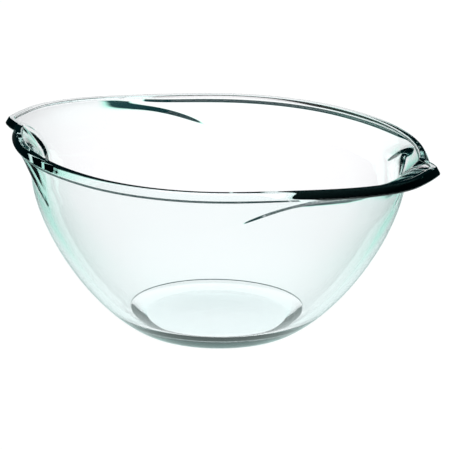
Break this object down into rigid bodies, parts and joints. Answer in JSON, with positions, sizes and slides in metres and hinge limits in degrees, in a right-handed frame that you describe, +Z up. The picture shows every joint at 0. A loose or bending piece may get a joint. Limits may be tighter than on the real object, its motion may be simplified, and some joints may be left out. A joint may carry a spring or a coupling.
{
  "type": "glass mixing bowl",
  "caption": "Round pressed-glass mixing bowl with a banded rim, swirled lugs on opposite sides to hold or pour by, and a flat foot.",
  "frame": {"origin": "centre of the foot, on the plane that the bowl stands on", "axes": "+Z up along the bowl's axis, +X through the middle of one lug, the other lug at -X"},
  "size_m": [0.2848, 0.2316, 0.1185],
  "materials": {
    "bowl_glass": "clear pressed glass, fire polished, faint teal tint in the thick edges"
  },
  "bodies": {
    "root": {"bowl": "bowl_glass"}
  },
  "joints": []
}
